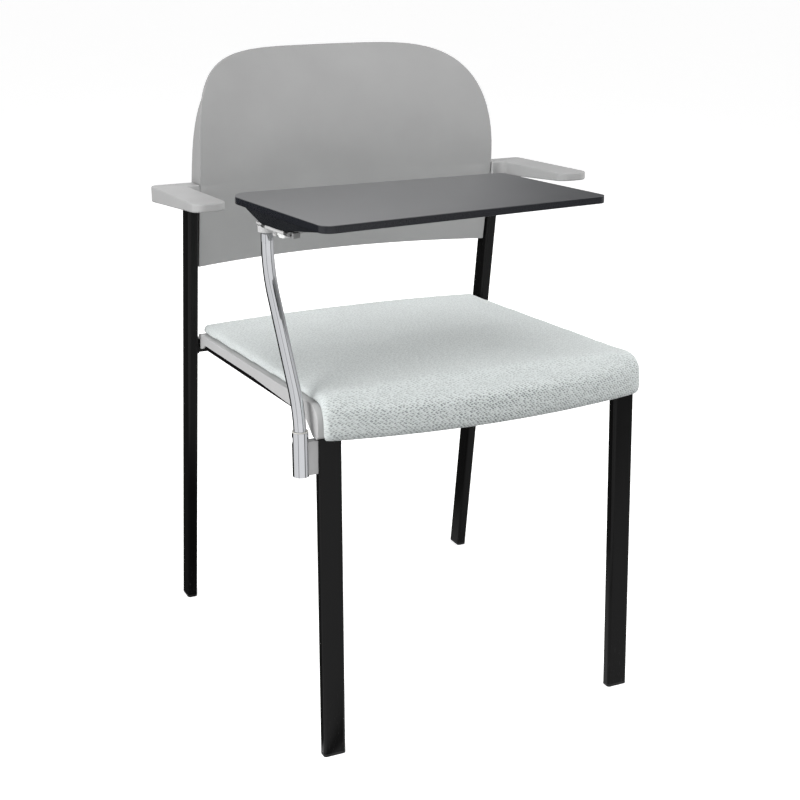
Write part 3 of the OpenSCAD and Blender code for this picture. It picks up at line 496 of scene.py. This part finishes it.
def wrap_weave(cushion, front, high):
    """Stores where each point lies on the flat cloth, across and along it over the front roll, and how
    deep the hollows and their painted shade are there: fully at the front, half as much on faces that
    point up, where light from above falls, and hardly at the sides, where it is pulled tight."""
    roll = 24 * MM
    bow = 25 * MM
    side_band = 8 * MM
    shade_fade_facing_up = 0.5
    tight = 0.75
    half = high.x
    mesh = cushion.data
    tree = BVHTree.FromObject(cushion, bpy.context.evaluated_depsgraph_get())
    above = Vector((0, 0, 1))
    weave = mesh.attributes.new("weave", "FLOAT_VECTOR", "POINT")
    for index, vert in enumerate(mesh.vertices):
        x, y, z = vert.co
        middle_y = front + bow * (x / half) ** 2 + roll
        over = Vector((0.95 * x, min(max(y, middle_y + roll), high.y - roll), 1))
        level = tree.ray_cast(over, -above)[0].z
        rise = roll - (level - z)
        turn = math.atan2(middle_y - y, rise) if rise > 0 else math.pi / 2
        along = y if y > middle_y else middle_y - roll * turn + min(rise, 0)
        across = x
        if y > middle_y and abs(x) > half - side_band:
            across += math.copysign(max(level - z, 0), x)
        # Painted light: on faces that point up the hollows and their painted shade are halved, as light
        # from above fills them
        flat = min(max((vert.normal.z - 0.45) / 0.5, 0), 1)
        aside = min(abs(vert.normal.x), 1)
        weave.data[index].vector = (across, along, (1 - shade_fade_facing_up * flat) * (1 - tight * aside))


# Weld beads

def bead_ring(points, faces, corners, radius, seed):
    """A rippled weld bead of about this radius, round a closed path of corners."""
    lengths = [(b - a).length for a, b in zip(corners, corners[1:] + corners[:1])]
    middle = sum(corners, Vector()) / len(corners)
    axis = (corners[1] - corners[0]).cross(corners[2] - corners[1]).normalized()
    step, sides = 0.9 * MM, 8
    rings = []
    for start, end, length in zip(corners, corners[1:] + corners[:1], lengths):
        count = max(int(length / step), 2)
        for index in range(count):
            place = start.lerp(end, index / count)
            out = (place - middle).normalized()
            wobble = noise.noise(place * 300 + Vector(seed))
            ripple = 1 + 0.16 * math.sin(index * math.tau / 3) + 0.25 * wobble
            rings.append((place, out, radius * ripple))
    first = len(points)
    for place, out, size in rings:
        for side in range(sides):
            angle = math.tau * side / sides
            points.append(place + size * (math.cos(angle) * out + math.sin(angle) * axis))
    for ring in range(len(rings)):
        after = (ring + 1) % len(rings)
        for side in range(sides):
            beside = (side + 1) % sides
            faces.append([first + ring * sides + side, first + after * sides + side,
                          first + after * sides + beside, first + ring * sides + beside])


def weld_beads():
    """Beads round the cross rails' ends, where they meet the legs, and the side rails' rear ends."""
    points, faces = [], []
    radius = 1.5 * MM
    rail_h = 16 * MM
    cross_inset = 0.8 * MM
    side_inset = 0.5 * MM
    for name in ("front_cross_rail", "rear_cross_rail"):
        low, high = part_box(name)
        for x in (low.x, high.x):
            inset = math.copysign(cross_inset, x)
            bead_ring(points, faces, [Vector((x - inset, y, z)) for y, z in (
                (low.y, low.z), (high.y, low.z), (high.y, high.z), (low.y, high.z))], radius, (x, 0, 0))
    for name in ("side_rail_left", "side_rail_right"):
        low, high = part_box(name)
        y = high.y - side_inset
        bead_ring(points, faces, [Vector((x, y, z)) for x, z in (
            (low.x, low.z), (high.x, low.z), (high.x, low.z + rail_h), (low.x, low.z + rail_h))],
            radius, (low.x, 1, 0))
    beads = add_mesh("weld_beads", points, faces)
    finish_piece(beads, coat)


# The tablet's rod

def sweep(name, path, radius, sides=64):
    """A closed round bar. The path's points are (place, tilt), tilt being the lean from +Z to +Y."""
    points = []
    for place, tilt in path:
        aside = Vector((0, math.cos(tilt), -math.sin(tilt)))
        for step in range(sides):
            angle = math.tau * step / sides
            points.append(place + radius * (math.cos(angle) * Vector((1, 0, 0)) - math.sin(angle) * aside))
    faces = [list(range(sides)), list(reversed(range(len(points) - sides, len(points))))]
    for ring in range(len(path) - 1):
        for step in range(sides):
            here, after = ring * sides + step, ring * sides + (step + 1) % sides
            faces.append([here, here + sides, after + sides, after])
    return add_mesh(name, points, faces)


def tablet_rod():
    """The rod: up out of its socket, leaning back, and up again into the tablet's head."""
    lean = math.radians(32)
    bend = 110 * MM
    below_rim = 8 * MM
    bend_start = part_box("tablet_socket")[1].z - below_rim
    low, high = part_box("arm_rod")
    radius = (high.x - low.x) / 2
    reach = high.y - low.y - 2 * radius
    run = (reach - 2 * bend * (1 - math.cos(lean))) / math.sin(lean)
    place = Vector(((low.x + high.x) / 2, low.y + radius, low.z))
    path = [(place, 0), (place + Vector((0, 0, bend_start - low.z)), 0)]
    steps = 24
    for turn in (lean, -lean):
        foot, tilt = path[-1]
        for step in range(1, steps + 1):
            angle = abs(turn) * step / steps
            if turn > 0:
                move = Vector((0, bend * (1 - math.cos(angle)), bend * math.sin(angle)))
                path.append((foot + move, angle))
            else:
                left = lean - angle
                move = Vector((0, bend * (math.cos(left) - math.cos(lean)),
                               bend * (math.sin(lean) - math.sin(left))))
                path.append((foot + move, left))
        if turn > 0:
            path.append((path[-1][0] + run * Vector((0, math.sin(lean), math.cos(lean))), lean))
    path.append((Vector((place.x, path[-1][0].y, high.z)), 0))
    rod = sweep("rod", path, radius)
    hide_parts("arm_rod")
    finish_piece(rod, bright, "tablet_arm")


# Stage and light

def studio_ramp(tree, angle, stops):
    """Brightness by direction: stops are (degrees from +X, brightness), angle is in radians."""
    share = tree.nodes.new("ShaderNodeMapRange")
    share.inputs["From Min"].default_value = -math.pi
    share.inputs["From Max"].default_value = math.pi
    tree.links.new(angle, share.inputs["Value"])
    node = tree.nodes.new("ShaderNodeValToRGB")
    ramp = node.color_ramp
    while len(ramp.elements) < len(stops):
        ramp.elements.new(1.0)
    for element, (degrees, brightness) in zip(ramp.elements, stops):
        element.position = (degrees + 180) / 360
        element.color = (brightness, brightness, brightness * 1.01, 1)
    tree.links.new(share.outputs[0], node.inputs[0])
    return node.outputs["Color"]


def bearing(tree, vector, centre=(0, 0)):
    """The angle about the vertical at which a vector points, from a centre."""
    parts = tree.nodes.new("ShaderNodeSeparateXYZ")
    tree.links.new(vector, parts.inputs[0])
    away = []
    for name, start in zip("XY", centre):
        less = tree.nodes.new("ShaderNodeMath")
        less.operation = "SUBTRACT"
        tree.links.new(parts.outputs[name], less.inputs[0])
        less.inputs[1].default_value = start
        away.append(less.outputs[0])
    angle = tree.nodes.new("ShaderNodeMath")
    angle.operation = "ARCTAN2"
    tree.links.new(away[1], angle.inputs[0])
    tree.links.new(away[0], angle.inputs[1])
    return angle.outputs[0]


# Brightness of the studio as reflections see it, low round the chair and above the horizon
LOW_STOPS = [(-180, 0.80), (-145, 0.84), (-141, 0.28), (-136, 0.28), (-132, 0.86), (-75, 0.86),
             (-57, 0.84), (-52, 0.12), (-43, 0.12), (-39, 0.66), (0, 0.62), (42, 0.4), (62, 0.02),
             (140, 0.02), (147, 0.78), (180, 0.80)]
HIGH_STOPS = [(-180, 0.50), (-145, 0.54), (-141, 0.2), (-136, 0.2), (-132, 0.55), (-75, 0.55),
              (-57, 0.54), (-52, 0.1), (-43, 0.1), (-39, 0.40), (0, 0.36), (44, 0.03), (58, 0.06),
              (76, 0.9), (90, 0.9), (97, 0.02), (130, 0.02), (142, 0.5)]
HIGH_STRENGTH = 1.5


def make_stage():
    """A pale floor without end, a soft sky and four lamps. Only reflections see the dark stripes, and
    the light that the floor throws back up is kept low."""
    floor = add_mesh("floor", [(-40, -40, 0), (40, -40, 0), (40, 40, 0), (-40, 40, 0)], [(0, 1, 2, 3)])
    s = Shader("floor", Roughness=0.9, Specular_IOR_Level=0.1, Emission_Strength=0.55)
    s.main.inputs["Emission Color"].default_value = (1, 1, 1, 1)
    s.colour(s.mix(s.noise(0.4, 2.0), grey(0.84), grey(0.86)))
    rod = (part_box("tablet_socket")[0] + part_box("tablet_socket")[1]) / 2
    stripes = s.node("ShaderNodeEmission")
    s.tree.links.new(studio_ramp(s.tree, bearing(s.tree, s.place, rod[:2]), LOW_STOPS), stripes.inputs[0])
    dim = s.node("ShaderNodeEmission")
    dim.inputs["Strength"].default_value = 0.5
    light = s.node("ShaderNodeLightPath")
    shown = s.main.outputs[0]
    for kind, other in (("Is Glossy Ray", stripes), ("Is Diffuse Ray", dim)):
        pick = s.node("ShaderNodeMixShader")
        s.tree.links.new(light.outputs[kind], pick.inputs[0])
        s.tree.links.new(shown, pick.inputs[1])
        s.tree.links.new(other.outputs[0], pick.inputs[2])
        shown = pick.outputs[0]
    s.tree.links.new(shown, s.tree.nodes["Material Output"].inputs["Surface"])
    put_material(floor, s.material)

    world = bpy.data.worlds.new("sky")
    world.use_nodes = True
    tree = world.node_tree
    plain = tree.nodes["Background"]
    plain.inputs["Color"].default_value = (1, 1, 1, 1)
    plain.inputs["Strength"].default_value = 0.5
    direction = tree.nodes.new("ShaderNodeTexCoord").outputs["Generated"]
    mirrored = tree.nodes.new("ShaderNodeBackground")
    mirrored.inputs["Strength"].default_value = HIGH_STRENGTH
    tree.links.new(studio_ramp(tree, bearing(tree, direction), HIGH_STOPS), mirrored.inputs["Color"])
    white = tree.nodes.new("ShaderNodeBackground")
    light = tree.nodes.new("ShaderNodeLightPath")
    white.inputs["Color"].default_value = (1, 1, 1, 1)
    shown = plain.outputs[0]
    for kind, other in (("Is Glossy Ray", mirrored), ("Is Camera Ray", white)):
        pick = tree.nodes.new("ShaderNodeMixShader")
        tree.links.new(light.outputs[kind], pick.inputs[0])
        tree.links.new(shown, pick.inputs[1])
        tree.links.new(other.outputs[0], pick.inputs[2])
        shown = pick.outputs[0]
    tree.links.new(shown, tree.nodes["World Output"].inputs["Surface"])
    bpy.context.scene.world = world
    bpy.context.scene.view_settings.view_transform = "Standard"

    lamp("key", (-0.3, -1.3, 3.3), 2.4, 32)
    lamp("left", (-2.5, -0.6, 1.2), 2.2, 56)
    lamp("right", (2.5, -0.6, 1.2), 2.2, 50)
    lamp("rear", (0.8, 2.8, 2.0), 2.2, 30)


def lamp(name, place, size, power):
    """A round soft lamp that looks at the seat and leaves no glare of its own."""
    data = bpy.data.lights.new(name, "AREA")
    data.shape = "DISK"
    data.size = size
    data.energy = power
    obj = bpy.data.objects.new(name, data)
    bpy.context.scene.collection.objects.link(obj)
    turn = (Vector((0, 0, 0.45)) - Vector(place)).to_track_quat("-Z", "Y").to_matrix().to_4x4()
    obj.matrix_world = Matrix.Translation(place) @ turn
    obj.visible_glossy = False


make_camera()
make_stage()

coat = black_coat()
# One grey plastic in three tones: the back's darker tone is painted shade and the pan's lighter tone is
# painted light, both set against the arms' tone
back_plastic_painted_shade = moulded_plastic("back_plastic_painted_shade", 0.315, 0.35)
arm_plastic = moulded_plastic("arm_plastic", 0.365, 0.405)
pan_plastic_painted_light = moulded_plastic("pan_plastic_painted_light", 0.47, 0.51)
bright = chrome()
steel = zinc()
paint = grey_coat()
fabric = woven_fabric()
wood = plywood()
top = laminate()
edging = tablet_edging()
rubber = plain_moulding("glide_plastic", grey(0.012), grey(0.018), 0.4 * MM, 0.5)
nylon = plain_moulding("nylon", (0.62, 0.61, 0.57), (0.72, 0.71, 0.68), 0.4 * MM, 0.4)
dark = plain_moulding("housing_plastic", (0.008, 0.009, 0.011), (0.013, 0.014, 0.016), 0.7 * MM, 0.28,
                      0.012 * MM)
white = latch_plastic()

TUBES = ["front_leg_left", "front_leg_right", "rear_leg_left", "rear_leg_right"]
RAILS = ["side_rail_left", "side_rail_right", "front_cross_rail", "rear_cross_rail"]
GLIDES = ["front_glide_left", "front_glide_right", "rear_glide_left", "rear_glide_right"]
dress(TUBES, coat, 0)
dress(RAILS, coat, 1.2 * MM, 3)
dress(["arm_plate_left", "arm_plate_right"], coat, 0.5 * MM)
weld_beads()
dress(GLIDES, rubber, 0.6 * MM)
dress(["seat_pan"], pan_plastic_painted_light, 0.9 * MM, 3)
dress(["backrest_shell"], back_plastic_painted_shade, 0.9 * MM, 3)
dress(["armrest_left", "armrest_right"], arm_plastic, 2.4 * MM, 4)
dress(["seat_board"], wood, 0.5 * MM)
seat_cushion()
dress(["seat_screws", "back_screws", "arm_screws", "bracket_bolts", "tablet_screws"], steel, 0.3 * MM)
dress(["stop_pin", "hinge_pin", "latch_pin", "hinge_leaf"], steel, 0.2 * MM)
dress(["socket_bracket", "arm_head"], paint, 0.4 * MM)
dress(["tablet_socket"], bright, 0.5 * MM, 3)
tablet_rod()
dress(["socket_bushes", "socket_disc"], nylon, 0.15 * MM)
dress(["hinge_housing"], dark, 1.0 * MM, 3)
dress(["tablet_board"], edging, 0.8 * MM, 3)
dress(["tablet_laminate"], top, 0.45 * MM, 3)
dress(["latch_lever"], white, 0.7 * MM, 3)
